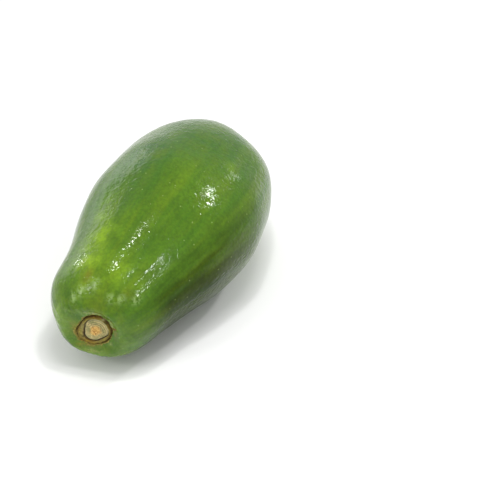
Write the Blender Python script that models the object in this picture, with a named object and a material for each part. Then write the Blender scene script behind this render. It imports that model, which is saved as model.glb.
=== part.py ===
"""A whole unripe green papaya, as picked, lying on its side.

The long axis runs along Y, with the stem end toward -Y and the blossom end
toward +Y. Z is up, and the fruit rests on a small flat spot at z = 0. The fruit
is one closed body with an open socket in its stem end. The cut stub of the stalk
is a body of its own, seated in that socket with a small gap.
"""

import math

import bmesh
import bpy
import numpy as np

# Driving sizes of the fruit, in metres
LENGTH = 0.2135
RADIUS = 0.0547
BEND_ACROSS = 0.0086
BEND_UP = 0.0091
TILT = math.radians(2.7)
STEM_CENTRE = (-0.00955, -0.10447, 0.03625)

# Outline of one side as (distance from the stem end, radius), in shares of
# LENGTH and RADIUS: the lip of the scar, the shallow basin round it and blunt
# shoulders, then a narrow neck, and the belly past half way
SHOULDER = ((0.0055, 0.228), (0.0012, 0.276), (-0.0051, 0.345))
SIDE = (
    (0.016, 0.478),
    (0.0735, 0.626),
    (0.165, 0.708),
    (0.303, 0.852),
    (0.459, 1.0),
    (0.606, 1.0),
    (0.757, 0.917),
    (0.881, 0.721),
    (0.954, 0.470),
    (0.990, 0.226),
    (1.0, 0.0),
)

# Cross-section: five faint lobes, a broad oval and a lopsided three-sided part,
# each as a share of the radius. Turns are measured from the top toward +X.
LOBES = 5
LOBE_HEIGHT_STEM = 0.0286
LOBE_HEIGHT_TIP = 0.010
LOBE_TURN = math.radians(3.6)
OVAL = 0.0564
OVAL_TURN = math.radians(88.9)
LOPSIDED = 0.0063
LOPSIDED_TURN = math.radians(-28.0)
ROUND_BELOW = 0.0273

# Low swells of the skin: height, waves along, waves round and phase
SWELLS = (
    (0.00050, 1.5, 2, 0.4),
    (0.00045, 2.5, 3, 2.1),
    (0.00035, 3.6, 1, 4.4),
    (0.00030, 5.0, 4, 1.2),
)

# Stem scar: its place in the end of the fruit, how far it turns toward +X, its
# radius, the radius where its setting fades out, and the span over which its
# outline gives way to the section of the fruit, in shares of its radius. Each
# outline is (waves round, share of the radius, turn of a crest in degrees).
SCAR_ACROSS = 0.0048
SCAR_UP = -0.0022
SCAR_TURN = math.radians(12.0)
SCAR_RADIUS = 0.0113
SCAR_FADE = 0.034
SCAR_BLEND = (1.05, 1.9)
SCAR_OUTLINE = ((1, 0.075, -50.0), (2, 0.076, 41.0), (3, 0.029, 11.0))
STUB_RADIUS = 0.0081
STUB_OUTLINE = ((1, 0.135, 12.0), (2, 0.116, 27.0), (3, 0.069, -24.0))

# Callus band between the skin and the stalk, as (distance from the stem end,
# share of the way from the stub to the rim of the scar)
CALLUS = ((0.0031, 1.0), (0.0010, 0.80), (0.0004, 0.52), (0.0010, 0.18))
SOCKET_LIP = 0.0007
SOCKET_GAP = 0.0004
SOCKET_TAPER = 0.88
SOCKET_TOP = 0.0026
SOCKET_FLOOR = 0.0075
FLOOR_RING = 0.5

# Stalk stub: its cut face, the rings on it and its foot
STUB_FACE = 0.0015
STUB_EDGE = 0.0006
STUB_DOME = 0.0005
STUB_RINGS = 3
STUB_RING_HEIGHT = 0.00012
STUB_RING_SPAN = (0.12, 0.93)
STUB_RING_CUTS = 10
STUB_FOOT = SOCKET_FLOOR - SOCKET_GAP

# Blossom end: a small star-shaped scar in a dimple
BLOSSOM_DEPTH = 0.0016
BLOSSOM_RADIUS = 0.0042
BLOSSOM_STAR = 0.35

# Colours, and the angle past which an edge is shaded sharp
SKIN_COLOUR = (0.115, 0.262, 0.034)
SKIN_ROUGHNESS = 0.28
STALK_COLOUR = (0.376, 0.328, 0.156)
STALK_ROUGHNESS = 0.8
CREASE = math.radians(50.0)

# Fineness of the meshes, and the distances that count as none
RING_STEP = 0.0047
SPOKES = 72
STUB_SPOKES = 60
WELD = 0.00005
TOUCH = 1e-7


def clear_scene():
    for item in list(bpy.data.objects):
        bpy.data.objects.remove(item, do_unlink=True)


def fade(value, start, end):
    """1 up to start, 0 past end, and a smooth slope between."""
    share = np.clip((value - start) / (end - start), 0.0, 1.0)
    return 1.0 - share * share * (3.0 - 2.0 * share)


def spline(points, step):
    """Points on a cubic spline through points, no further apart than step."""
    points = np.array(points, dtype=float)
    chords = np.linalg.norm(np.diff(points, axis=0), axis=1)
    gaps = np.sqrt(chords)
    count = len(points)
    system = np.eye(count)
    target = np.zeros_like(points)
    for i in range(1, count - 1):
        system[i, i - 1] = gaps[i - 1]
        system[i, i] = 2.0 * (gaps[i - 1] + gaps[i])
        system[i, i + 1] = gaps[i]
        slope_after = (points[i + 1] - points[i]) / gaps[i]
        slope_before = (points[i] - points[i - 1]) / gaps[i - 1]
        target[i] = 6.0 * (slope_after - slope_before)
    bend = np.linalg.solve(system, target)
    curve = [points[0]]
    for i in range(count - 1):
        pieces = max(2, math.ceil(chords[i] / step))
        for k in range(1, pieces + 1):
            b = k / pieces
            a = 1.0 - b
            lift = (a**3 - a) * bend[i] + (b**3 - b) * bend[i + 1]
            curve.append(a * points[i] + b * points[i + 1] + lift * gaps[i] ** 2 / 6.0)
    return np.array(curve)


def skin_profile(step):
    """Rings from the rim of the scar to the blossom end, as (along, radius)."""
    stations = [(a * LENGTH, r * RADIUS) for a, r in SHOULDER + SIDE]
    rim = (CALLUS[0][0], SCAR_RADIUS)
    past_the_end = (stations[-2][0], -stations[-2][1])
    curve = spline([rim] + stations + [past_the_end], step)
    end = int(np.argmax(curve[:, 1] <= TOUCH))
    return curve[:end]


def outline(turn, waves):
    """Radius of an uneven outline round its mean, at each turn."""
    radius = np.ones_like(turn)
    for count, share, crest in waves:
        radius = radius + share * np.cos(count * (turn - math.radians(crest)))
    return radius


def section(along, radius, turn):
    """Radius of the fruit's cross-section, with its lobes, at each turn."""
    share = np.clip(along / LENGTH, 0.0, 1.0)
    grown = np.clip(radius / ROUND_BELOW, 0.0, 1.0) ** 2
    height = LOBE_HEIGHT_STEM * (1.0 - share) + LOBE_HEIGHT_TIP * share
    shape = height * np.cos(LOBES * (turn - LOBE_TURN))
    shape = shape + OVAL * np.cos(2.0 * (turn - OVAL_TURN))
    shape = shape + LOPSIDED * np.cos(3.0 * (turn - LOPSIDED_TURN))
    swell = np.zeros_like(turn)
    for height, waves, folds, phase in SWELLS:
        wave = np.sin(2.0 * math.pi * waves * share + phase)
        swell = swell + height * wave * np.cos(folds * turn + 2.0 * phase)
    return radius * (1.0 + grown * shape) + grown * swell


def fruit_point(along, radius, turn, drop=0.0):
    """Places a ring of the skin: its bend, the set of the scar and the tilt.

    drop moves the point into the fruit, along the axis."""
    at_stem = 1.0 if along < 0.5 * LENGTH else 0.0
    near = at_stem * fade(radius, SCAR_RADIUS, SCAR_FADE)
    scar = at_stem * fade(radius / SCAR_RADIUS, *SCAR_BLEND)
    wide = section(along, radius, turn)
    wide = wide + scar * (radius * outline(turn, SCAR_OUTLINE) - wide)
    return set_down(along + drop, wide, turn, near)


def set_down(along, wide, turn, near):
    """Row-frame coordinates of points given round the fruit's own axis."""
    share = np.clip(along / LENGTH, 0.0, 1.0)
    bow = np.sin(math.pi * share)
    across = wide * np.sin(turn)
    along = along + near * math.tan(SCAR_TURN) * across
    across = across + BEND_ACROSS * bow + near * SCAR_ACROSS
    up = wide * np.cos(turn) + BEND_UP * bow + near * SCAR_UP
    x = STEM_CENTRE[0] + across
    y = STEM_CENTRE[1] + along * math.cos(TILT) - up * math.sin(TILT)
    z = STEM_CENTRE[2] + along * math.sin(TILT) + up * math.cos(TILT)
    return np.stack(np.broadcast_arrays(x, y, z), axis=-1)


def spokes(count):
    return np.arange(count) * (2.0 * math.pi / count)


def skin_rings():
    """Rings of the skin from the rim of the scar to the blossom end."""
    turn = spokes(SPOKES)
    rings = []
    for along, radius in skin_profile(RING_STEP):
        star = 1.0 + BLOSSOM_STAR * np.cos(LOBES * turn)
        dimple = BLOSSOM_DEPTH * np.exp(-((radius / (BLOSSOM_RADIUS * star)) ** 2))
        at_tip = 1.0 if along > 0.5 * LENGTH else 0.0
        rings.append(fruit_point(along, radius, turn, -dimple * at_tip))
    return rings


def scar_rings():
    """Rings from the socket's floor over the callus, up to the rim of the scar."""
    turn = spokes(SPOKES)
    stub = STUB_RADIUS * outline(turn, STUB_OUTLINE)
    rim = SCAR_RADIUS * outline(turn, SCAR_OUTLINE)
    wall = stub + SOCKET_GAP
    rings = [
        set_down(SOCKET_FLOOR, wall * SOCKET_TAPER * FLOOR_RING, turn, 1.0),
        set_down(SOCKET_FLOOR, wall * SOCKET_TAPER, turn, 1.0),
        set_down(SOCKET_TOP, wall, turn, 1.0),
    ]
    inner = stub + SOCKET_LIP
    for along, share in reversed(CALLUS[1:]):
        rings.append(set_down(along, inner + share * (rim - inner), turn, 1.0))
    return rings


def ring_body(rings, start, end):
    """A closed mesh through rings of equal length, with a point at each end."""
    mesh = bmesh.new()
    loops = [[mesh.verts.new(p) for p in ring] for ring in rings]
    first = mesh.verts.new(start)
    last = mesh.verts.new(end)
    count = len(loops[0])
    for i in range(count):
        j = (i + 1) % count
        mesh.faces.new((first, loops[0][j], loops[0][i]))
        mesh.faces.new((last, loops[-1][i], loops[-1][j]))
        for low, high in zip(loops, loops[1:]):
            mesh.faces.new((low[i], low[j], high[j], high[i]))
    bmesh.ops.recalc_face_normals(mesh, faces=mesh.faces)
    return mesh


def cut_flat_spot(mesh):
    """Cuts the underside off at z = 0, where the fruit rests."""
    everything = mesh.verts[:] + mesh.edges[:] + mesh.faces[:]
    bmesh.ops.bisect_plane(
        mesh,
        geom=everything,
        dist=TOUCH,
        plane_co=(0.0, 0.0, 0.0),
        plane_no=(0.0, 0.0, 1.0),
        clear_inner=True,
    )
    border = [edge for edge in mesh.edges if edge.is_boundary]
    rim = list({vert for edge in border for vert in edge.verts})
    bmesh.ops.remove_doubles(mesh, verts=rim, dist=WELD)
    border = [edge for edge in mesh.edges if edge.is_boundary]
    bmesh.ops.holes_fill(mesh, edges=border, sides=0)
    bmesh.ops.recalc_face_normals(mesh, faces=mesh.faces)


def plain_material(name, colour, roughness):
    material = bpy.data.materials.new(name)
    material.use_nodes = True
    shader = material.node_tree.nodes["Principled BSDF"]
    shader.inputs["Base Color"].default_value = (*colour, 1.0)
    shader.inputs["Roughness"].default_value = roughness
    shader.inputs["Metallic"].default_value = 0.0
    material.diffuse_color = (*colour, 1.0)
    return material


def add_object(name, mesh, material):
    data = bpy.data.meshes.new(name)
    mesh.to_mesh(data)
    mesh.free()
    data.shade_smooth()
    data.set_sharp_from_angle(angle=CREASE)
    data.materials.append(material)
    item = bpy.data.objects.new(name, data)
    bpy.context.collection.objects.link(item)


def build_fruit():
    floor = set_down(SOCKET_FLOOR, np.zeros(1), np.zeros(1), 1.0)[0]
    tip = set_down(np.full(1, LENGTH - BLOSSOM_DEPTH), np.zeros(1), np.zeros(1), 0.0)[0]
    mesh = ring_body(scar_rings() + skin_rings(), floor, tip)
    cut_flat_spot(mesh)
    add_object("fruit", mesh, plain_material("papaya_skin", SKIN_COLOUR, SKIN_ROUGHNESS))


def build_stem_stub():
    turn = spokes(STUB_SPOKES)
    wall = STUB_RADIUS * outline(turn, STUB_OUTLINE)
    foot = (wall + SOCKET_GAP) * SOCKET_TAPER - SOCKET_GAP
    rings = []
    for share in np.linspace(*STUB_RING_SPAN, STUB_RING_CUTS):
        ripple = STUB_RING_HEIGHT * math.cos(2.0 * math.pi * STUB_RINGS * share)
        dome = STUB_DOME * (1.0 - share * share)
        rings.append(set_down(STUB_FACE - dome + ripple, wall * share, turn, 1.0))
    rings.append(set_down(STUB_FACE + STUB_EDGE, wall, turn, 1.0))
    rings.append(set_down(SOCKET_TOP, wall, turn, 1.0))
    rings.append(set_down(STUB_FOOT, foot, turn, 1.0))
    face = set_down(STUB_FACE - STUB_DOME, np.zeros(1), np.zeros(1), 1.0)[0]
    base = set_down(STUB_FOOT, np.zeros(1), np.zeros(1), 1.0)[0]
    mesh = ring_body(rings, face, base)
    add_object("stem_stub", mesh, plain_material("stalk_wood", STALK_COLOUR, STALK_ROUGHNESS))


def main():
    clear_scene()
    build_fruit()
    build_stem_stub()


main()
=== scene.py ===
"""A whole unripe papaya on a pale floor, seen from its stem end.

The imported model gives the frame. The skin and the stub of the stalk are made
again here as finer meshes of the same form, and they replace the two nodes: the
skin gets its pebbling, the puckers round the stem and the cork of the scar, and
the stub gets the rings and fibres of its cut face.
"""

import math

import bpy
import numpy as np
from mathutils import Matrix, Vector, noise


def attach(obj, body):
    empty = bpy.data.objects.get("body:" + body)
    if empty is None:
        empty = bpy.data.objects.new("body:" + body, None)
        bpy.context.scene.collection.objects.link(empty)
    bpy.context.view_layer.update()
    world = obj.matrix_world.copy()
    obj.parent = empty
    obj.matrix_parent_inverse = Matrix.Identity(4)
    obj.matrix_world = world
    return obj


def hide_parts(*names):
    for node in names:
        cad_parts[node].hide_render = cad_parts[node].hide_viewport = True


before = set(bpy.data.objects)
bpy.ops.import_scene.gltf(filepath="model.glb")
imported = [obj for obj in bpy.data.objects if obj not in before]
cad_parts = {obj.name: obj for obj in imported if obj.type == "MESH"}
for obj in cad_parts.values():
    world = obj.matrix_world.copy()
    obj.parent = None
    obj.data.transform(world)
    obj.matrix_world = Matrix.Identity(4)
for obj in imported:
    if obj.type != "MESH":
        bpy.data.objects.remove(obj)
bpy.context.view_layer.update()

MM = 0.001
FRUIT = "fruit"
STUB = "stem_stub"
BODY = "root"

# Driving sizes of the fruit, in metres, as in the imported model
LENGTH = 0.2135
RADIUS = 0.0547
BEND_ACROSS = 0.0086
BEND_UP = 0.0091
TILT = math.radians(2.7)
STEM_CENTRE = (-0.00955, -0.10447, 0.03625)
SHOULDER = ((0.0055, 0.228), (0.0012, 0.276), (-0.0051, 0.345))
SIDE = (
    (0.016, 0.478),
    (0.0735, 0.626),
    (0.165, 0.708),
    (0.303, 0.852),
    (0.459, 1.0),
    (0.606, 1.0),
    (0.757, 0.917),
    (0.881, 0.721),
    (0.954, 0.470),
    (0.990, 0.226),
    (1.0, 0.0),
)

# Cross-section, with turns measured from the top toward +X
LOBES = 5
LOBE_HEIGHT_STEM = 0.0286
LOBE_HEIGHT_TIP = 0.010
LOBE_TURN = math.radians(3.6)
OVAL = 0.0564
OVAL_TURN = math.radians(88.9)
LOPSIDED = 0.0063
LOPSIDED_TURN = math.radians(-28.0)
ROUND_BELOW = 0.0273

# Slow swellings of the belly: height, waves along, folds round, phase
SWELLS = (
    (0.00050, 1.5, 2, 0.4),
    (0.00045, 2.5, 3, 2.1),
    (0.00035, 3.6, 1, 4.4),
    (0.00030, 5.0, 4, 1.2),
)

# Stem scar and its cork, with outlines as (waves round, share of the radius, crest in degrees)
# and the cork's profile as (depth along, share of the way from the stub to the rim)
SCAR_ACROSS = 0.0048
SCAR_UP = -0.0022
SCAR_TURN = math.radians(12.0)
SCAR_RADIUS = 0.0113
SCAR_FADE = 0.034
SCAR_BLEND = (1.05, 1.9)
SCAR_OUTLINE = ((1, 0.075, -50.0), (2, 0.076, 41.0), (3, 0.029, 11.0))
STUB_RADIUS = 0.0081
STUB_OUTLINE = ((1, 0.135, 12.0), (2, 0.116, 27.0), (3, 0.069, -24.0))
SCAR_RAG = 0.07
STUB_RAG = 0.035
RIM_DEPTH = 0.0031
CORK = (
    (0.0016, 0.0),
    (0.0008, 0.14),
    (0.0004, 0.42),
    (0.0005, 0.66),
    (0.0013, 0.86),
    (0.0025, 0.96),
)
SOCKET_LIP = 0.0004
SOCKET_GAP = 0.0004
SOCKET_TAPER = 0.88
SOCKET_TOP = 0.0026
SOCKET_FLOOR = 0.0075
STUB_FACE = 0.0015
STUB_EDGE = 0.0006
STUB_DOME = 0.0005
STUB_FOOT = SOCKET_FLOOR - SOCKET_GAP

# The stem's half of the fruit, and how far the fine rings of its scar go
STEM_HALF = 0.5 * LENGTH
LIP_RADIUS = 1.35 * SCAR_RADIUS

# Blossom end
BLOSSOM_DEPTH = 0.0016
BLOSSOM_RADIUS = 0.0042
BLOSSOM_STAR = 0.35

# Stands for a place outside a mark's end of the fruit
FAR_OFF = 9.0

# Seeds of the noises that shape the meshes
SEED_PEBBLES = 1.0
SEED_RIPPLES = 3.0
SEED_RIBS = 4.0
SEED_PUCKERS = 5.0
SEED_CORK = 7.0
SEED_PITH = 11.0
SEED_FIBRES = 13.0
SEED_STUB = 21.0
SEED_SCAR = 25.0

# Relief of the skin, as (bump to bump, height)
PEBBLES = ((0.0052, 0.00007), (0.0027, 0.00006))
RIB_HEIGHT = 0.00010
RIB_SIZE = 0.0062
RIB_STRETCH = 0.16
PUCKERS = 0.00030
PUCKER_SIZE = 0.0075
PUCKER_STRETCH = 0.9
PUCKERS_FROM = (0.013, 0.019)
PUCKERS_TO = (0.026, 0.038)

# Forms of the skin near the stem: mm from the stem end, degrees round from the top,
# half sizes in the same units, and height
RIDGES = (
    (36.0, 13.0, 24.0, 6.0, 0.00014),
    (35.0, 41.5, 20.0, 5.4, 0.00050),
)
PUFFS = (
    (4.8, -15.0, 2.2, 4.2, 0.00050),
    (8.7, 4.5, 2.6, 4.4, 0.00055),
    (2.7, -26.7, 2.0, 4.4, 0.00046),
    (6.0, 30.0, 2.0, 5.0, 0.00042),
    (9.0, 41.0, 2.4, 4.2, 0.00040),
    (14.2, 54.0, 2.6, 3.6, 0.00040),
)
CORK_RELIEF = 0.00020
CORK_GRAINS = (0.9 * MM, 2.2 * MM)

# Scale of the noise that wrinkles the cork round the scar: across the band, and round it
RING_WIDE = 0.006
RING_ROUND = 0.004

# Relief of the stub's cut face
RIPPLES = 7.0
RIPPLE_HEIGHT = 0.00009
RIPPLE_WANDER = 1.5
PITH_HEIGHT = 0.00022
FIBRE_HEIGHT = 0.00006

# Fineness of the meshes
SKIN_STEP = 0.00095
CORK_STEP = 0.00028
SPOKES = 300
STUB_SPOKES = 180
SOCKET_FLOOR_RINGS = (0.35, 0.7, 1.0)
SOCKET_WALL_RINGS = 7
STUB_FACE_RINGS = 56
STUB_WALL_RINGS = 14
STUB_FOOT_RINGS = (0.7, 0.35)

# Camera: the photograph's viewing angle and framing
CAMERA_TARGET = (STEM_CENTRE[0] + 0.029785, STEM_CENTRE[1] + 0.173504, -0.00072)
CAMERA_AZIMUTH = math.radians(23.7)
CAMERA_ELEVATION = math.radians(35.8)
CAMERA_DISTANCE = 1.2
CAMERA_LENS = 125.0
CAMERA_SENSOR = 36.0
CAMERA_NEAR = 0.05


def fade(value, start, end):
    """1 up to start, 0 past end, and a smooth slope between."""
    share = np.clip((value - start) / (end - start), 0.0, 1.0)
    return 1.0 - share * share * (3.0 - 2.0 * share)


def spline(points, step):
    """Points on a cubic spline through points, no further apart than step."""
    points = np.array(points, dtype=float)
    chords = np.linalg.norm(np.diff(points, axis=0), axis=1)
    gaps = np.sqrt(chords)
    count = len(points)
    system = np.eye(count)
    target = np.zeros_like(points)
    for i in range(1, count - 1):
        system[i, i - 1] = gaps[i - 1]
        system[i, i] = 2.0 * (gaps[i - 1] + gaps[i])
        system[i, i + 1] = gaps[i]
        slope_after = (points[i + 1] - points[i]) / gaps[i]
        slope_before = (points[i] - points[i - 1]) / gaps[i - 1]
        target[i] = 6.0 * (slope_after - slope_before)
    bend = np.linalg.solve(system, target)
    curve = [points[0]]
    for i in range(count - 1):
        pieces = max(2, math.ceil(chords[i] / step))
        for k in range(1, pieces + 1):
            b = k / pieces
            a = 1.0 - b
            lift = (a**3 - a) * bend[i] + (b**3 - b) * bend[i + 1]
            curve.append(a * points[i] + b * points[i + 1] + lift * gaps[i] ** 2 / 6.0)
    return np.array(curve)


def outline(turn, waves):
    """Radius of an uneven outline round its mean, at each turn."""
    radius = np.ones_like(turn)
    for count, share, crest in waves:
        radius = radius + share * np.cos(count * (turn - math.radians(crest)))
    return radius


def grain(points, size, seed):
    """Noise between -1 and 1 at each point, about size from bump to bump."""
    shift = np.array((12.7, 4.1, 8.3)) * seed
    places = (points.reshape(-1, 3) / size + shift).tolist()
    values = [noise.noise(place) for place in places]
    return np.array(values).reshape(points.shape[:-1])


def ragged(turn, waves, amount, seed):
    """The same outline with an uneven edge, by amount of its mean radius."""
    places = np.stack([np.cos(turn), np.sin(turn), 0.0 * turn], -1)
    rag = grain(places, 0.55, seed) + 0.5 * grain(places, 0.2, seed + 1.0)
    return outline(turn, waves) + amount * rag


def section(along, radius, turn):
    """Radius of the fruit's cross-section, with its lobes, at each turn."""
    share = np.clip(along / LENGTH, 0.0, 1.0)
    grown = np.clip(radius / ROUND_BELOW, 0.0, 1.0) ** 2
    height = LOBE_HEIGHT_STEM * (1.0 - share) + LOBE_HEIGHT_TIP * share
    shape = height * np.cos(LOBES * (turn - LOBE_TURN))
    shape = shape + OVAL * np.cos(2.0 * (turn - OVAL_TURN))
    shape = shape + LOPSIDED * np.cos(3.0 * (turn - LOPSIDED_TURN))
    swell = 0.0
    for tall, waves, folds, phase in SWELLS:
        wave = np.sin(2.0 * math.pi * waves * share + phase)
        swell = swell + tall * wave * np.cos(folds * turn + 2.0 * phase)
    return radius * (1.0 + grown * shape) + grown * swell


def set_down(along, wide, turn, near):
    """Row-frame coordinates of points given round the fruit's own axis.

    Near the scar, where near is 1, the points shift and lean with it.
    """
    share = np.clip(along / LENGTH, 0.0, 1.0)
    bow = np.sin(math.pi * share)
    across = wide * np.sin(turn)
    along = along + near * math.tan(SCAR_TURN) * across
    across = across + BEND_ACROSS * bow + near * SCAR_ACROSS
    up = wide * np.cos(turn) + BEND_UP * bow + near * SCAR_UP
    x = STEM_CENTRE[0] + across
    y = STEM_CENTRE[1] + along * math.cos(TILT) - up * math.sin(TILT)
    z = STEM_CENTRE[2] + along * math.sin(TILT) + up * math.cos(TILT)
    return np.stack(np.broadcast_arrays(x, y, z), axis=-1)


def spokes(count):
    """Turns of a ring's points, evenly spaced, as one row."""
    return np.arange(count)[None, :] * (2.0 * math.pi / count)


def outward(points):
    """Normals of a closed grid of rings and spokes, pointing out of the fruit."""
    round_it = np.roll(points, -1, axis=1) - np.roll(points, 1, axis=1)
    along_it = np.gradient(points, axis=0)
    normal = np.cross(round_it, along_it)
    return normal / np.linalg.norm(normal, axis=-1, keepdims=True)


def grid_mesh(name, rings, first, last):
    """A closed mesh through a grid of rings, with a point at each end and its faces outward."""
    count = rings.shape[1]
    points = np.concatenate([rings.reshape(-1, 3), [first, last]])
    i, j = np.meshgrid(np.arange(len(rings) - 1), np.arange(count), indexing="ij")
    k = (j + 1) % count
    sides = np.stack([i * count + j, i * count + k, (i + 1) * count + k, (i + 1) * count + j], -1)
    j = np.arange(count)
    k = (j + 1) % count
    start = np.stack([np.full(count, len(points) - 2), k, j], -1)
    base = (len(rings) - 1) * count
    end = np.stack([np.full(count, len(points) - 1), base + j, base + k], -1)
    faces = sides.reshape(-1, 4).tolist() + start.tolist() + end.tolist()
    mesh = bpy.data.meshes.new(name)
    mesh.from_pydata(points.tolist(), [], faces)
    mesh.shade_smooth()
    mesh.validate()
    return mesh


def paint(mesh, name, values, ends):
    """Stores one number for each point of a grid mesh, with its two end points."""
    layer = mesh.attributes.new(name, "FLOAT", "POINT")
    layer.data.foreach_set("value", np.append(values.ravel(), ends).astype(np.float32))


def paint_place(mesh, name, places):
    """Stores a place for each point of a grid mesh, with the mean of a ring at its ends."""
    layer = mesh.attributes.new(name, "FLOAT_VECTOR", "POINT")
    ends = np.stack([places[0].mean(axis=0), places[-1].mean(axis=0)])
    values = np.concatenate([places.reshape(-1, 3), ends])
    layer.data.foreach_set("vector", values.astype(np.float32).ravel())


def add_piece(mesh, material, node):
    """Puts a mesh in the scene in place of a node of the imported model."""
    piece = bpy.data.objects.new(mesh.name, mesh)
    bpy.context.collection.objects.link(piece)
    mesh.materials.append(material)
    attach(piece, BODY)
    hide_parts(node)


def socket_rows(turn, wall):
    """Rings of the socket's floor and wall: along, radius, nearness to the scar, band."""
    rows = []
    for share in SOCKET_FLOOR_RINGS:
        rows.append((np.full_like(turn, SOCKET_FLOOR), wall * SOCKET_TAPER * share, 1.0, -1.0))
    for share in np.linspace(0.15, 1.0, SOCKET_WALL_RINGS):
        depth = SOCKET_FLOOR + (SOCKET_TOP - SOCKET_FLOOR) * share
        taper = SOCKET_TAPER + (1.0 - SOCKET_TAPER) * share
        rows.append((np.full_like(turn, depth), wall * taper, 1.0, -1.0 + share))
    return rows


def cork_rows(turn, inner, rim):
    """Rings of the cork, from the socket's lip out to the rim of the scar."""
    rows = []
    scale = SCAR_RADIUS - STUB_RADIUS
    profile = [(along, share * scale) for along, share in CORK + ((RIM_DEPTH, 1.0),)]
    for along, across in spline(profile, CORK_STEP)[:-1]:
        share = across / scale
        rows.append((np.full_like(turn, along), inner + share * (rim - inner), 1.0, share))
    return rows


def body_rows(turn, edge):
    """Rings of the skin, from the rim of the scar to the tip, with the dimple there."""
    stations = [(a * LENGTH, r * RADIUS) for a, r in SHOULDER + SIDE]
    past_the_end = (stations[-2][0], -stations[-2][1])
    points = [(RIM_DEPTH, SCAR_RADIUS)] + stations + [past_the_end]
    lip = spline(points, CORK_STEP)
    body = spline(points, SKIN_STEP)
    near_lip = lip[(lip[:, 1] < LIP_RADIUS) & (lip[:, 0] < STEM_HALF)]
    start = np.count_nonzero((body[:, 1] < LIP_RADIUS) & (body[:, 0] < STEM_HALF))
    end = int(np.argmax(body[:, 1] <= 1e-7))
    star = 1.0 + BLOSSOM_STAR * np.cos(LOBES * turn)
    rows = []
    for along, radius in np.concatenate([near_lip, body[start:end]]):
        at_stem = 1.0 if along < STEM_HALF else 0.0
        near = at_stem * fade(radius, SCAR_RADIUS, SCAR_FADE)
        scar = at_stem * fade(radius / SCAR_RADIUS, *SCAR_BLEND)
        wide = section(along, radius, turn)
        wide = wide + scar * (radius * edge - wide)
        dimple = BLOSSOM_DEPTH * np.exp(-((radius / (BLOSSOM_RADIUS * star)) ** 2))
        deep = np.full_like(turn, along) - dimple * (1.0 - at_stem)
        rows.append((deep, wide, near, radius / SCAR_RADIUS if at_stem else FAR_OFF))
    return rows


def skin_relief(points, flow, along, wide, band, degrees):
    """Height of the skin's pebbles, ribs, puckers, puffs and cork at each point."""
    on_skin = 1.0 - fade(band, 1.0, 1.25)
    on_cork = fade(band, 1.0, 1.15) * (1.0 - fade(band, 0.0, 0.1))
    height = np.zeros_like(wide)
    for number, (size, tall) in enumerate(PEBBLES):
        height += on_skin * tall * grain(points, size, SEED_PEBBLES + number)
    height += on_skin * RIB_HEIGHT * grain(flow * (RIB_STRETCH, 1.0, 1.0), RIB_SIZE, SEED_RIBS)
    puckered = on_skin * (1.0 - fade(wide, *PUCKERS_FROM)) * fade(wide, *PUCKERS_TO)
    puckered = puckered * (along < STEM_HALF)
    pucker = grain(flow * (PUCKER_STRETCH, 1.0, 1.0), PUCKER_SIZE, SEED_PUCKERS)
    height += puckered * PUCKERS * pucker
    for at, turned, length, breadth, tall in RIDGES + PUFFS:
        far = ((along / MM - at) / length) ** 2 + ((degrees - turned) / breadth) ** 2
        height += on_skin * tall * np.exp(-far)
    fine, coarse = CORK_GRAINS
    crumbs = grain(points, fine, SEED_CORK) + grain(points, coarse, SEED_CORK + 1.0)
    return height + on_cork * CORK_RELIEF * crumbs


def build_skin(material):
    """The whole fruit as one closed mesh, from the socket's floor to the tip."""
    turn = spokes(SPOKES)
    stub = STUB_RADIUS * ragged(turn, STUB_OUTLINE, STUB_RAG, SEED_STUB)
    edge = ragged(turn, SCAR_OUTLINE, SCAR_RAG, SEED_SCAR)
    rows = socket_rows(turn, stub + SOCKET_GAP)
    rows += cork_rows(turn, stub + SOCKET_LIP, SCAR_RADIUS * edge)
    rows += body_rows(turn, edge)
    along = np.concatenate([row[0] for row in rows])
    wide = np.concatenate([row[1] for row in rows])
    near = np.array([row[2] for row in rows])[:, None]
    band = np.array([row[3] for row in rows])[:, None] + np.zeros_like(turn)
    points = set_down(along, wide, turn, near)
    out = outward(points)
    across = np.sin(turn)
    up = np.cos(turn)
    flow = np.stack(np.broadcast_arrays(along, RADIUS * up, RADIUS * across), -1)
    degrees = np.degrees((turn + math.pi) % (2.0 * math.pi) - math.pi)
    height = skin_relief(points, flow, along, wide, band, degrees)
    points = points + out * height[..., None]
    points[..., 2] = np.maximum(points[..., 2], 0.0)

    floor = set_down(SOCKET_FLOOR, np.zeros(1), np.zeros(1), 1.0)[0]
    tip = set_down(np.full(1, LENGTH - BLOSSOM_DEPTH), np.zeros(1), np.zeros(1), 0.0)[0]
    mesh = grid_mesh("papaya_skin", points, floor, tip)
    on_tip = along > STEM_HALF
    ringed = np.stack(np.broadcast_arrays(RING_WIDE * band, RING_ROUND * up, RING_ROUND * across), -1)
    paint(mesh, "band", band, (-1.0, FAR_OFF))
    paint(mesh, "share", np.clip(along / LENGTH, 0.0, 1.0), (0.0, 1.0))
    paint(mesh, "round", degrees + np.zeros_like(along), (0.0, 0.0))
    paint(mesh, "side", np.where(on_tip, FAR_OFF, wide * across / SCAR_RADIUS), (0.0, FAR_OFF))
    paint(mesh, "rise", np.where(on_tip, FAR_OFF, wide * up / SCAR_RADIUS), (0.0, FAR_OFF))
    paint(mesh, "tip", np.where(on_tip, wide / MM, FAR_OFF), (FAR_OFF, 0.0))
    paint_place(mesh, "ringed", ringed)
    paint_place(mesh, "flow", flow)
    add_piece(mesh, material, FRUIT)


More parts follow.
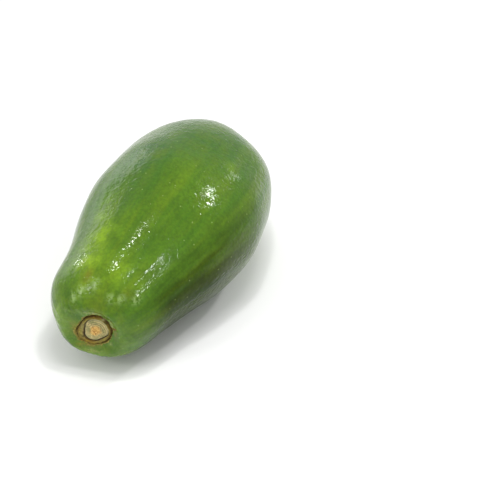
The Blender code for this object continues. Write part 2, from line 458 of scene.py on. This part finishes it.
def build_stub(material):
    """The cut end of the stalk, with growth rings and a fibrous middle."""
    turn = spokes(STUB_SPOKES)
    wall = STUB_RADIUS * ragged(turn, STUB_OUTLINE, STUB_RAG, SEED_STUB)
    foot = (wall + SOCKET_GAP) * SOCKET_TAPER - SOCKET_GAP
    wall_start = STUB_FACE + STUB_EDGE
    profile = []
    for share in np.linspace(0.03, 0.97, STUB_FACE_RINGS):
        profile.append((STUB_FACE - STUB_DOME * (1.0 - share * share), share, 0.0))
    profile += [(STUB_FACE + 0.3 * STUB_EDGE, 0.992, 0.0), (wall_start, 1.0, 0.0)]
    for part in np.linspace(0.1, 1.0, STUB_WALL_RINGS):
        profile.append((wall_start + (STUB_FOOT - wall_start) * part, 1.0, part))
    for share in STUB_FOOT_RINGS:
        profile.append((STUB_FOOT, share, 1.0))
    along, share, part = [np.array(column)[:, None] for column in zip(*profile)]
    wide = share * (wall + (foot - wall) * part)
    points = set_down(along + np.zeros_like(turn), wide, turn, 1.0)
    out = outward(points)
    ring = share + np.zeros_like(turn)
    face = fade(part, 0.0, 0.05) * fade(share, 0.93, 0.99)
    wander = RIPPLE_WANDER * grain(points, 6.0 * MM, SEED_RIPPLES)
    ripple = RIPPLE_HEIGHT * np.cos(2.0 * math.pi * RIPPLES * ring + wander)
    pith = PITH_HEIGHT * fade(ring, 0.25, 0.6) * grain(points, 1.3 * MM, SEED_PITH)
    fibres = FIBRE_HEIGHT * grain(points, 0.7 * MM, SEED_FIBRES)
    points = points + out * (face * (ripple + pith + fibres))[..., None]
    face_middle = set_down(STUB_FACE - STUB_DOME, np.zeros(1), np.zeros(1), 1.0)[0]
    foot_middle = set_down(STUB_FOOT, np.zeros(1), np.zeros(1), 1.0)[0]
    mesh = grid_mesh("stalk_stub", points, face_middle, foot_middle)
    paint(mesh, "ring", ring + part, (0.0, 2.0))
    add_piece(mesh, material, STUB)


class Nodes:
    """Adds shader nodes to a new material by kind, inputs and settings."""

    def __init__(self, name):
        self.material = bpy.data.materials.new(name)
        self.material.use_nodes = True
        self.tree = self.material.node_tree
        self.shader = self.tree.nodes["Principled BSDF"]

    def add(self, kind, inputs, out=0, **settings):
        """Adds a node and returns one of its outputs."""
        node = self.tree.nodes.new("ShaderNode" + kind)
        for key, value in settings.items():
            setattr(node, key, value)
        for key, value in inputs.items():
            self.set(node, key, value)
        return node.outputs[out]

    def set(self, node, key, value):
        """Links an input of a node to a socket, or gives it a constant."""
        if isinstance(value, bpy.types.NodeSocket):
            self.tree.links.new(value, node.inputs[key])
        else:
            node.inputs[key].default_value = value

    def math(self, operation, a, b=0.0, clamp=False):
        """Result of a sum on two values."""
        return self.add("Math", {0: a, 1: b}, operation=operation, use_clamp=clamp)

    def times(self, a, b, clamp=False):
        """Product of two values."""
        return self.math("MULTIPLY", a, b, clamp)

    def centred(self, value):
        """A noise between 0 and 1, moved to lie round 0."""
        return self.math("SUBTRACT", value, 0.5)

    def between(self, factor, a, b):
        """Number between a and b."""
        return self.add("Mix", {0: factor, 2: a, 3: b})

    def mix(self, factor, a, b, blend="MIX"):
        """Colour between a and b, or a blended with b."""
        return self.add("Mix", {0: factor, 6: a, 7: b}, 2, data_type="RGBA", blend_type=blend)

    def span(self, value, low, high, to_low=0.0, to_high=1.0):
        """A smooth slope from to_low at low to to_high at high."""
        inputs = {0: value, 1: low, 2: high, 3: to_low, 4: to_high}
        return self.add("MapRange", inputs, interpolation_type="SMOOTHSTEP")

    def noise(self, place, size, detail, rough, shift, curl=0.0):
        """Noise between 0 and 1, about size from bump to bump."""
        inputs = {
            "Vector": place,
            "Scale": 1.0 / size,
            "Detail": detail,
            "Roughness": rough,
            "W": shift,
            "Distortion": curl,
        }
        return self.add("TexNoise", inputs, noise_dimensions="4D")

    def attribute(self, name, out="Fac"):
        """Value that the mesh stores at its points."""
        return self.add("Attribute", {}, out, attribute_name=name)

    def blob(self, x, y, spot):
        """A soft patch of the given strength round (at x, at y), with its half sizes."""
        at_x, at_y, size_x, size_y, strength = spot
        a = self.math("DIVIDE", self.math("SUBTRACT", x, at_x), size_x)
        b = self.math("DIVIDE", self.math("SUBTRACT", y, at_y), size_y)
        far = self.math("ADD", self.times(a, a), self.times(b, b))
        return self.times(self.math("EXPONENT", self.times(far, -1.0)), strength)

    def blobs(self, x, y, spots):
        """The strongest of several soft patches at each place."""
        found = self.blob(x, y, spots[0])
        for spot in spots[1:]:
            found = self.math("MAXIMUM", found, self.blob(x, y, spot))
        return found

    def shade(self, colour, value):
        """A colour made darker or lighter by a value round 1."""
        grey = self.add("CombineColor", {0: value, 1: value, 2: value})
        return self.mix(1.0, colour, grey, "MULTIPLY")

    def tint(self, factor, colour, tone):
        """A colour multiplied by a tone, as far as the factor goes."""
        return self.mix(factor, colour, self.mix(1.0, colour, tone, "MULTIPLY"))

    def ramp(self, value, stops):
        """Colour from a row of (position, colour) stops."""
        node = self.tree.nodes.new("ShaderNodeValToRGB")
        elements = node.color_ramp.elements
        elements[0].position, elements[0].color = stops[0]
        elements[1].position, elements[1].color = stops[-1]
        for position, colour in stops[1:-1]:
            elements.new(position).color = colour
        self.tree.links.new(value, node.inputs[0])
        return node.outputs[0]

    def finish(self, colour, roughness, relief, strength, distance):
        """Wires colour, roughness and relief to the shader and returns the material."""
        self.set(self.shader, "Base Color", colour)
        self.set(self.shader, "Roughness", roughness)
        bump = {"Strength": strength, "Distance": distance, "Height": relief}
        self.set(self.shader, "Normal", self.add("Bump", bump))
        return self.material


class SkinNodes(Nodes):
    """Nodes of the skin, with the places and noises that its colours share."""

    def __init__(self, name):
        super().__init__(name)
        self.place = self.add("TexCoord", {}, "Object")
        self.flow = self.attribute("flow", "Vector")
        self.band = self.attribute("band")
        self.along = self.times(self.attribute("share"), LENGTH / MM)
        self.turn = self.attribute("round")
        self.side = self.attribute("side")
        self.rise = self.attribute("rise")
        stretch = {0: self.flow, 1: STREAK_STRETCH}
        self.stretched = self.add("VectorMath", stretch, operation="MULTIPLY")
        self.blotch = self.noise(self.place, *BLOTCHES)
        self.uneven = self.span(self.blotch, *BLOTCH_UNEVEN)
        self.rag = self.centred(self.noise(self.place, *RAG))
        self.grit = self.noise(self.place, *GRIT)

    def on_skin(self, spots):
        """Patches placed along and round the fruit, broken up by the blotches."""
        return self.times(self.blobs(self.along, self.turn, spots), self.uneven, clamp=True)

    def by_scar(self, spots):
        """Patches placed in scar radii."""
        return self.blobs(self.side, self.rise, spots)

    def gritty(self, spots, factor):
        """Patches placed in scar radii, broken up by the grit."""
        broken = self.times(self.by_scar(spots), self.span(self.grit, *GRIT_SHOWS), clamp=True)
        return self.times(broken, factor)


def rgb(red, green, blue):
    """Linear colour from the 0 to 255 values that a picture shows."""
    def linear(value):
        value = value / 255.0
        return value / 12.92 if value <= 0.04045 else ((value + 0.055) / 1.055) ** 2.4
    return (linear(red), linear(green), linear(blue), 1.0)


# Tones of the skin and of its marks
SKIN_DARK = rgb(66, 106, 12)
SKIN_LIGHT = rgb(88, 119, 10)
SKIN_COOL = rgb(50, 92, 26)
SKIN_WARM = rgb(128, 162, 22)
# Tone of the painted highlights on the puffs and of the painted light on the arcs by the scar
PAINTED_SHEEN_TONE = rgb(140, 168, 98)
# Tone of the painted light that lifts the skin round the scar
PAINTED_LIGHT_TONE = rgb(124, 154, 64)
SKIN_BROWN = rgb(118, 98, 26)
SKIN_SPECK = rgb(164, 184, 112)
# Tint of the painted shade on the lower side
PAINTED_SHADE_TINT = (0.36, 0.31, 0.24, 1.0)
TINGE_TONE = rgb(148, 120, 46)
# Tone of the painted highlight along the scar's lip
LIP_HIGHLIGHT_TONE = rgb(184, 184, 116)
DRY_HALO_TONE = rgb(120, 122, 44)
DRY_TONE = rgb(96, 84, 40)

# Tones of the cork, from the socket outward, and of its patches
CORK_SPAN = 1.5
CORK_TONES = (
    # The first, darkest tone is painted shade in the socket round the stub
    (0.0, rgb(60, 52, 30)),
    (0.07, rgb(116, 100, 56)),
    (0.22, rgb(140, 130, 64)),
    (0.45, rgb(132, 120, 50)),
    (0.68, rgb(114, 98, 36)),
    (0.86, rgb(112, 94, 36)),
    (0.95, rgb(92, 74, 28)),
    (1.01, rgb(100, 84, 32)),
    (1.08, rgb(146, 136, 62)),
    (CORK_SPAN, rgb(128, 132, 52)),
)
CORK_RUST = rgb(248, 222, 150)
CORK_PALE = rgb(158, 152, 104)
# Dark of the cork's deep grooves: partly its own dark brown, partly painted shade
GROOVE_DARK_AND_SHADE_TONE = rgb(50, 36, 12)

# Tones of the stub's wood
WOOD_DARK = rgb(146, 144, 88)
WOOD_LIGHT = rgb(194, 178, 120)
WOOD_EDGE = rgb(184, 178, 132)
WOOD_BARK = rgb(58, 46, 24)
WOOD_GAPS = rgb(86, 70, 36)
HEART_TONES = (
    (0.34, rgb(112, 72, 26)),
    (0.44, rgb(176, 122, 52)),
    (0.54, rgb(220, 182, 96)),
    (0.66, rgb(240, 205, 140)),
)

# Noises of the materials: size from bump to bump, detail, roughness, shift and curl
NEAR_STREAKS = (0.008, 3.0, 0.6, 0.7)
STREAKS = (0.011, 3.0, 0.55, 0.3)
BLOTCHES = (0.010, 3.0, 0.6, 1.7)
BREAKS = (0.0022, 2.0, 0.5, 5.5, 0.6)
SHADE_EDGE = (0.016, 3.0, 0.6, 2.6)
MOTTLE = (0.0019, 3.0, 0.65, 4.0)
RAG = (0.0028, 4.0, 0.65, 2.0)
GRIT = (0.0011, 4.0, 0.7, 3.0)
WRINKLES = (0.0009, 3.0, 0.6, 7.0)
SHEEN = (0.009, 3.0, 0.6, 6.0)
PEEL = (0.0036, 1.0, 0.5, 8.0, 0.9)
PORES = (0.0016, 1.0, 0.5, 9.0)
WOOD_WANDER = (0.0032, 4.0, 0.65, 1.0)
WOOD_FIBRE = (0.0010, 5.0, 0.7, 3.0)
WOOD_PATCHES = (0.0035, 3.0, 0.6, 5.0)
STREAK_STRETCH = (0.16, 1.0, 1.0)

# Slopes of the skin's colours: from, to, and the values at both ends if they aren't 0 and 1
STREAKS_CHANGE = (3.0, 9.0)
STREAK_TONES = (0.32, 0.68)
BLOTCH_UNEVEN = (0.3, 0.7, 0.35, 1.2)
BLOTCH_SHADE = (0.3, 0.7, 0.90, 1.08)
MOTTLE_SHADE = (0.28, 0.72, 0.84, 1.14)
BREAKS_SHOW = (0.40, 0.56)
GRIT_SHOWS = (0.35, 0.6)
GRIT_SHADE = (0.25, 0.75, 0.62, 1.42)
WRINKLE_SHADE = (0.3, 0.7, 0.66, 1.34)
DRY_SHADE = (0.25, 0.75, 0.4, 1.5)

# Strength of the marks round the scar, of the painted highlight along its lip, and of the cork's
# patches, the dark ones partly painted shade
TINGE_STRENGTH = 0.75
LIP_HIGHLIGHT_STRENGTH = 0.8
PALE_CORK_STRENGTH = 0.75
GROOVE_DARK_AND_SHADE_STRENGTH = 0.7

# Slopes of the wood's colours and of its roughness, its rings, and its bump's strength and height
RING_WANDER = 0.30
RING_WAVES = 40.0
RING_SHADE = (-1.0, 0.1, 0.56, 1.04)
PATCH_TONES = (0.38, 0.62)
FIBRE_SHADE = (0.32, 0.68, 0.64, 1.30)
HEART_ENDS = (0.30, 0.60, 1.0, 0.0)
EDGE_STARTS = (0.86, 0.95, 0.0, 0.5)
BARK_STARTS = (0.975, 1.02)
GAPS_SHOW = (0.30, 0.42, 0.7, 0.0)
WOOD_ROUGHNESS = (0.2, 0.8, 0.65, 0.9)
WOOD_BUMP = (0.8, 0.0004)

# Pale specks of the skin: gap, edge, share that shows and strength
SPECK_GAP = 0.0046
SPECK_EDGE = (0.06, 0.13, 1.0, 0.0)
SPECK_SHARE = (0.45, 0.6)
SPECK_STRENGTH = 0.4

# Way that the painted shade of the lower side faces, as (along, up, across), how far its edge
# wanders, and
# its slopes: round the fruit, along it in mm at both its ends, and how far it loses its gloss
PAINTED_SHADE_TURN = math.radians(110.0)
PAINTED_SHADE_FACING = (0.0, math.cos(PAINTED_SHADE_TURN), math.sin(PAINTED_SHADE_TURN))
PAINTED_SHADE_WANDER = 0.9 * RADIUS
PAINTED_SHADE_ROUND = (0.50 * RADIUS, 0.90 * RADIUS)
PAINTED_SHADE_STARTS = (4.0, 34.0)
PAINTED_SHADE_FADES = (160.0, 65.0, 0.15, 1.0)
PAINTED_SHADE_DULLS = (112.0, 62.0, 0.0, 0.36)

# Torn edge of the cork, in the same units as its band
CORK_TEAR = 0.42
CORK_EDGE = (1.08, 1.16, 1.0, 0.0)

# Dry scar of the blossom end and the paler skin round it, in mm from its middle
DRY_RAG = 3.4
DRY_HALO = (2.4, 5.6, 0.6, 0.0)
DRY_SCAR = (2.1, 2.9, 1.0, 0.0)

# Gloss of the skin and height of its bumps, with pores that grow toward the belly
SKIN_GLOSS = (0.3, 0.7, 0.14, 0.20)
CORK_ROUGHNESS = 0.8
SPECULAR = 0.5
SKIN_SETTINGS = {
    "IOR": 1.37,
    "Coat Weight": 0.02,
    "Coat Roughness": 0.38,
    "Coat IOR": 1.4,
    "Subsurface Weight": 0.06,
    "Subsurface Radius": (0.5, 1.0, 0.2),
    "Subsurface Scale": 0.002,
}
SKIN_BUMP = 0.00048
PORE_HEIGHTS = (55.0, 95.0, 0.03, 0.08)

# Patches on the skin: mm from the stem end, degrees round from the top, half sizes, strength
WARM_SKIN = (
    (62.0, -32.0, 18.0, 10.0, 0.4),
    (38.0, -22.0, 17.0, 14.0, 0.8),
    (22.0, -17.0, 10.0, 16.0, 0.8),
    (21.0, 26.0, 12.0, 20.0, 0.5),
    (9.0, 8.0, 8.0, 30.0, 0.45),
    (104.0, 26.0, 20.0, 14.0, 0.1),
    (133.0, 39.0, 5.0, 5.0, 0.35),
)
BROWN_SKIN = (
    (12.4, -8.7, 4.0, 6.0, 0.4),
    (21.0, -24.0, 3.0, 2.5, 0.25),
    (14.1, 44.0, 2.5, 8.0, 0.2),
    (1.6, 16.2, 4.0, 14.0, 0.2),
    (46.0, -63.0, 1.2, 2.0, 0.9),
)
COOL_SKIN = (
    (150.0, 10.0, 45.0, 50.0, 0.75),
    (118.0, -19.0, 42.0, 25.0, 0.95),
    (70.0, -52.0, 30.0, 9.0, 0.5),
)

# Patches where the peel is smoother, in the same units
CALM_SKIN = (
    (37.0, 42.0, 30.0, 17.0, 0.5),
    (59.0, 10.0, 14.0, 20.0, 0.5),
    (95.0, -80.0, 90.0, 36.0, 0.75),
    (20.0, 32.0, 7.0, 9.0, 0.7),
)

# Painted highlight on the puffs: pale skin a little wider than they are
PUFF_SHEEN_SPREAD = 1.1
PUFF_SHEEN_STRENGTH = 0.9
PAINTED_PUFF_SHEEN = tuple(
    (at, turned, PUFF_SHEEN_SPREAD * length, PUFF_SHEEN_SPREAD * breadth, PUFF_SHEEN_STRENGTH)
    for at, turned, length, breadth, _ in PUFFS
)

# Marks on the scar and on the skin round it: across and up in scar radii, half sizes, strength.
# A spur pushes the edge of the cork out, or in where its strength is below 0.
SPURS = (
    (1.24, 0.38, 0.16, 0.09, 0.50),
    (-1.02, 0.1, 0.15, 0.5, -0.17),
)
PALE_CORK = (
    (0.54, 0.93, 0.16, 0.08, 1.0),
    (-0.72, 0.35, 0.12, 0.30, 0.5),
)
RUSTY_CORK = (
    (-0.45, -0.75, 0.45, 0.22, 1.0),
    (0.2, 1.1, 0.6, 0.12, 0.5),
    (1.2, 0.05, 0.10, 0.12, 0.9),
)
# Dark spots in the cork's deep grooves: partly its own dark brown, partly painted shade
CORK_GROOVE_DARK_AND_SHADE = (
    (0.68, 0.74, 0.20, 0.10, 0.6),
    (0.58, 1.15, 0.16, 0.10, 0.8),
    (-0.75, -0.45, 0.12, 0.12, 0.6),
)
TINGE = (
    (-1.16, 0.1, 0.18, 0.5, 0.7),
    (-0.4, -1.05, 0.6, 0.14, 1.0),
    (1.25, 0.1, 0.14, 0.3, 0.8),
)
# Painted highlight where the skin's lip round the scar catches the light
PAINTED_LIP_HIGHLIGHT = (
    (-0.2, -1.42, 0.7, 0.16, 0.5),
    (0.0, 1.34, 0.45, 0.10, 0.8),
    (1.02, 0.75, 0.10, 0.35, 0.8),
    (0.9, -0.75, 0.15, 0.1, 0.6),
)
# Pale arcs left of the scar: painted light on the lit side of the shoulder round it
PAINTED_ARC_LIGHT = (
    (-1.98, 0.45, 0.13, 0.60, 0.7),
    (-2.05, -0.5, 0.10, 0.35, 0.4),
    (-1.35, 1.25, 0.25, 0.12, 0.4),
)
# Lighter skin round the scar: painted light where the stem end gets too little light
PAINTED_LIGHT_BY_SCAR = (
    (-1.9, 0.2, 0.8, 1.4, 0.5),
    (0.0, -1.8, 1.6, 0.5, 0.5),
    (1.9, -0.1, 0.5, 1.0, 0.35),
)


def skin_greens(n):
    """Ground colour, with soft streaks along the fruit, cool and warm patches, and pale patches that
    are painted highlights and painted light.
    """
    far_out = n.math("ADD", n.times(n.side, n.side), n.times(n.rise, n.rise))
    near_streak = n.noise(n.place, *NEAR_STREAKS)
    streak = n.between(n.span(far_out, *STREAKS_CHANGE), near_streak, n.noise(n.stretched, *STREAKS))
    colour = n.mix(n.span(streak, *STREAK_TONES), SKIN_DARK, SKIN_LIGHT)
    colour = n.mix(n.on_skin(COOL_SKIN), colour, SKIN_COOL)
    colour = n.mix(n.on_skin(WARM_SKIN), colour, SKIN_WARM)
    broken = n.span(n.noise(n.place, *BREAKS), *BREAKS_SHOW)
    # Painted highlights on the puffs and painted light on the arcs by the scar
    pale = n.math("MAXIMUM", n.blobs(n.along, n.turn, PAINTED_PUFF_SHEEN), n.by_scar(PAINTED_ARC_LIGHT))
    colour = n.mix(n.times(pale, broken, clamp=True), colour, PAINTED_SHEEN_TONE)
    # Painted light that lifts the skin round the scar
    light = n.times(n.by_scar(PAINTED_LIGHT_BY_SCAR), n.uneven, clamp=True)
    return n.mix(light, colour, PAINTED_LIGHT_TONE)


def painted_shade_side(n):
    """How far each place belongs to the painted shade of the lower side."""
    facing = n.add("VectorMath", {0: n.flow, 1: PAINTED_SHADE_FACING}, 1, operation="DOT_PRODUCT")
    edge = n.times(n.centred(n.noise(n.stretched, *SHADE_EDGE)), PAINTED_SHADE_WANDER)
    painted_shade = n.span(n.math("ADD", facing, edge), *PAINTED_SHADE_ROUND)
    painted_shade = n.times(painted_shade, n.span(n.along, *PAINTED_SHADE_STARTS))
    return n.times(painted_shade, n.span(n.along, *PAINTED_SHADE_FADES))


def skin_marks(n, colour, painted_shade):
    """Adds the painted shade of the lower side, brown marks, mottling and pale specks to the greens.
    """
    # Painted shade darkens and tints the lower side
    colour = n.tint(painted_shade, colour, PAINTED_SHADE_TINT)
    colour = n.mix(n.on_skin(BROWN_SKIN), colour, SKIN_BROWN)
    colour = n.shade(colour, n.span(n.blotch, *BLOTCH_SHADE))
    mottle = n.noise(n.place, *MOTTLE)
    colour = n.shade(colour, n.span(mottle, *MOTTLE_SHADE))
    cells = n.add("TexVoronoi", {"Vector": n.place, "Scale": 1.0 / SPECK_GAP}, "Distance")
    speck = n.span(cells, *SPECK_EDGE)
    some = n.span(n.add("SeparateColor", {0: cells.node.outputs["Color"]}), *SPECK_SHARE)
    return n.mix(n.times(n.times(speck, some), SPECK_STRENGTH), colour, SKIN_SPECK)


def cork_colour(n, torn, wrinkle):
    """Cork of the scar, from its torn band, its grit and its patches."""
    stops = [(at / CORK_SPAN, tone) for at, tone in CORK_TONES]
    cork = n.ramp(n.math("DIVIDE", torn, CORK_SPAN), stops)
    cork = n.shade(cork, n.span(n.grit, *GRIT_SHADE))
    cork = n.shade(cork, n.span(wrinkle, *WRINKLE_SHADE))
    cork = n.tint(n.by_scar(RUSTY_CORK), cork, CORK_RUST)
    cork = n.mix(n.times(n.by_scar(PALE_CORK), PALE_CORK_STRENGTH), cork, CORK_PALE)
    # Darker grooves, partly the cork's own brown and partly painted shade
    return n.mix(n.times(n.by_scar(CORK_GROOVE_DARK_AND_SHADE), GROOVE_DARK_AND_SHADE_STRENGTH), cork, GROOVE_DARK_AND_SHADE_TONE)


def skin_material():
    """Skin with the cork of the stem scar and the dry scar at the blossom end."""
    n = SkinNodes("papaya_skin")
    painted_shade = painted_shade_side(n)
    colour = skin_marks(n, skin_greens(n), painted_shade)
    torn = n.math("ADD", n.band, n.times(n.rag, CORK_TEAR))
    torn = n.math("SUBTRACT", torn, n.by_scar(SPURS))
    corky = n.span(torn, *CORK_EDGE)
    wrinkle = n.noise(n.attribute("ringed", "Vector"), *WRINKLES)
    colour = n.mix(n.gritty(TINGE, TINGE_STRENGTH), colour, TINGE_TONE)
    # Painted highlight along the lip of the scar
    colour = n.mix(n.gritty(PAINTED_LIP_HIGHLIGHT, LIP_HIGHLIGHT_STRENGTH), colour, LIP_HIGHLIGHT_TONE)
    colour = n.mix(corky, colour, cork_colour(n, torn, wrinkle))

    tip = n.math("ADD", n.attribute("tip"), n.times(n.rag, DRY_RAG))
    dry = n.span(tip, *DRY_SCAR)
    colour = n.mix(n.span(tip, *DRY_HALO), colour, DRY_HALO_TONE)
    colour = n.mix(dry, colour, n.shade(DRY_TONE, n.span(n.grit, *DRY_SHADE)))

    dull = n.math("MAXIMUM", corky, dry)
    rough = n.span(n.noise(n.place, *SHEEN), *SKIN_GLOSS)
    # The painted shade of the lower side also has less gloss
    shaded = n.times(painted_shade, n.span(n.along, *PAINTED_SHADE_DULLS))
    n.set(n.shader, "Specular IOR Level", n.math("SUBTRACT", SPECULAR, shaded))
    for name, value in SKIN_SETTINGS.items():
        n.shader.inputs[name].default_value = value
    calm = n.blobs(n.along, n.turn, CALM_SKIN)
    peel = n.times(n.noise(n.place, *PEEL), n.math("SUBTRACT", 1.0, calm))
    pores = n.times(n.noise(n.place, *PORES), n.span(n.along, *PORE_HEIGHTS))
    relief = n.between(dull, n.math("ADD", peel, pores), n.math("ADD", n.grit, wrinkle))
    return n.finish(colour, n.between(dull, rough, CORK_ROUGHNESS), relief, 1.0, SKIN_BUMP)


def stub_material():
    """Wood of the cut stalk: growth rings, a fibrous heart and a dark bark."""
    n = Nodes("stalk_wood")
    place = n.add("TexCoord", {}, "Object")
    ring = n.attribute("ring")
    wander = n.times(n.centred(n.noise(place, *WOOD_WANDER)), RING_WANDER)
    at = n.math("ADD", ring, wander)
    rings = n.math("SINE", n.times(at, RING_WAVES))
    fibre = n.noise(place, *WOOD_FIBRE)
    patch = n.noise(place, *WOOD_PATCHES)
    colour = n.mix(n.span(patch, *PATCH_TONES), WOOD_DARK, WOOD_LIGHT)
    colour = n.shade(colour, n.span(rings, *RING_SHADE))
    colour = n.shade(colour, n.span(fibre, *FIBRE_SHADE))
    colour = n.mix(n.span(at, *HEART_ENDS), colour, n.ramp(fibre, HEART_TONES))
    colour = n.mix(n.span(at, *EDGE_STARTS), colour, WOOD_EDGE)
    colour = n.mix(n.span(ring, *BARK_STARTS), colour, WOOD_BARK)
    colour = n.mix(n.span(fibre, *GAPS_SHOW), colour, WOOD_GAPS)
    return n.finish(colour, n.span(fibre, *WOOD_ROUGHNESS), fibre, *WOOD_BUMP)


# Floor, and the light that comes from all round
FLOOR_HALF = 6.0
FLOOR_COLOUR = (0.95, 0.95, 0.95, 1.0)
FLOOR_ROUGHNESS = 0.7
SKY_STRENGTH = 0.66
EXPOSURE = 0.14

# Lights: the spot they aim at, azimuth and elevation in degrees, distance, size, and the share
# of a white floor's light that they give, or the glow of a glint's mirror image
SOFT_LIGHTS = (
    ("key_light", (0.0, 0.0, 0.05), 60.0, 78.0, 1.4, 0.5, 0.26),
    ("top_light", (0.003, -0.070, 0.079), 100.0, 79.5, 0.42, 0.045, 0.20),
    ("back_light", (0.034, -0.009, 0.090), 135.5, 44.5, 0.7, 0.055, 0.20),
)
GLINTS = (
    ("ridge_glint", (0.0017, -0.0768, 0.0772), 90.0, 81.0, 0.115, 0.0115, 100.0),
    ("side_glint", (0.0188, -0.0706, 0.0703), 82.0, 48.0, 0.085, 0.0060, 115.0),
    ("belly_glint", (0.0314, -0.0074, 0.0915), 135.2, 45.9, 0.095, 0.0080, 185.0),
    ("haze_glint", (0.0380, 0.0210, 0.0881), 158.0, 24.0, 0.200, 0.0200, 10.0),
    ("left_glint", (-0.0236, -0.0841, 0.0705), -111.3, 17.5, 0.080, 0.0030, 110.0),
)
PLAIN_LIGHTS = (
    ("front_light", (-0.010, -0.098, 0.060), -33.0, 39.0, 1.0, 0.26, 0.13),
    ("left_wall", (0.0, 0.0, 0.05), -113.0, 12.0, 1.5, (1.2, 0.5), 0.10),
)


def build_floor():
    """A wide, pale floor."""
    half = FLOOR_HALF
    corners = [(-half, -half, 0), (half, -half, 0), (half, half, 0), (-half, half, 0)]
    mesh = bpy.data.meshes.new("floor")
    mesh.from_pydata(corners, [], [(0, 1, 2, 3)])
    floor = bpy.data.objects.new("floor", mesh)
    bpy.context.collection.objects.link(floor)
    paper = Nodes("floor_paper")
    paper.shader.inputs["Base Color"].default_value = FLOOR_COLOUR
    paper.shader.inputs["Roughness"].default_value = FLOOR_ROUGHNESS
    mesh.materials.append(paper.material)


def direction(azimuth, elevation):
    """Unit vector from the object toward a viewer or a light."""
    level = math.cos(elevation)
    return Vector((math.sin(azimuth) * level, -math.cos(azimuth) * level, math.sin(elevation)))


def aim(item, spot, toward, distance):
    """Puts an item at a distance from a spot, and turns it to look back at the spot."""
    item.location = Vector(spot) + distance * toward
    item.rotation_euler = toward.to_track_quat("Z", "Y").to_euler()


def add_light(name, spot, azimuth, elevation, distance, size, share):
    """An area light, round or of two sizes, that gives a white floor at the spot this share."""
    data = bpy.data.lights.new(name, "AREA")
    data.shape = "RECTANGLE" if isinstance(size, tuple) else "DISK"
    data.size, data.size_y = size if isinstance(size, tuple) else (size, size)
    data.energy = share * (math.pi * distance) ** 2
    lamp = bpy.data.objects.new(name, data)
    bpy.context.collection.objects.link(lamp)
    aim(lamp, spot, direction(math.radians(azimuth), math.radians(elevation)), distance)
    lamp.visible_camera = False
    return lamp


def build_lights():
    """Soft lights without a mirror image, glints that are only that, and plain lights."""
    for light in SOFT_LIGHTS:
        add_light(*light).visible_glossy = False
    for name, spot, azimuth, elevation, distance, size, glow in GLINTS:
        share = glow * (0.5 * size / distance) ** 2
        lamp = add_light(name, spot, azimuth, elevation, distance, size, share)
        lamp.visible_diffuse = False
    for light in PLAIN_LIGHTS:
        add_light(*light)
    world = bpy.data.worlds.new("studio")
    world.use_nodes = True
    background = world.node_tree.nodes["Background"]
    background.inputs["Color"].default_value = (1.0, 1.0, 1.0, 1.0)
    background.inputs["Strength"].default_value = SKY_STRENGTH
    bpy.context.scene.world = world


def build_camera():
    """The photograph's camera, made the scene's own."""
    data = bpy.data.cameras.new("camera")
    data.lens = CAMERA_LENS
    data.sensor_width = CAMERA_SENSOR
    data.clip_start = CAMERA_NEAR
    camera = bpy.data.objects.new("camera", data)
    bpy.context.collection.objects.link(camera)
    aim(camera, CAMERA_TARGET, direction(CAMERA_AZIMUTH, CAMERA_ELEVATION), CAMERA_DISTANCE)
    bpy.context.scene.camera = camera


build_skin(skin_material())
build_stub(stub_material())
build_floor()
build_lights()
build_camera()
bpy.context.scene.view_settings.view_transform = "Standard"
bpy.context.scene.view_settings.exposure = EXPOSURE
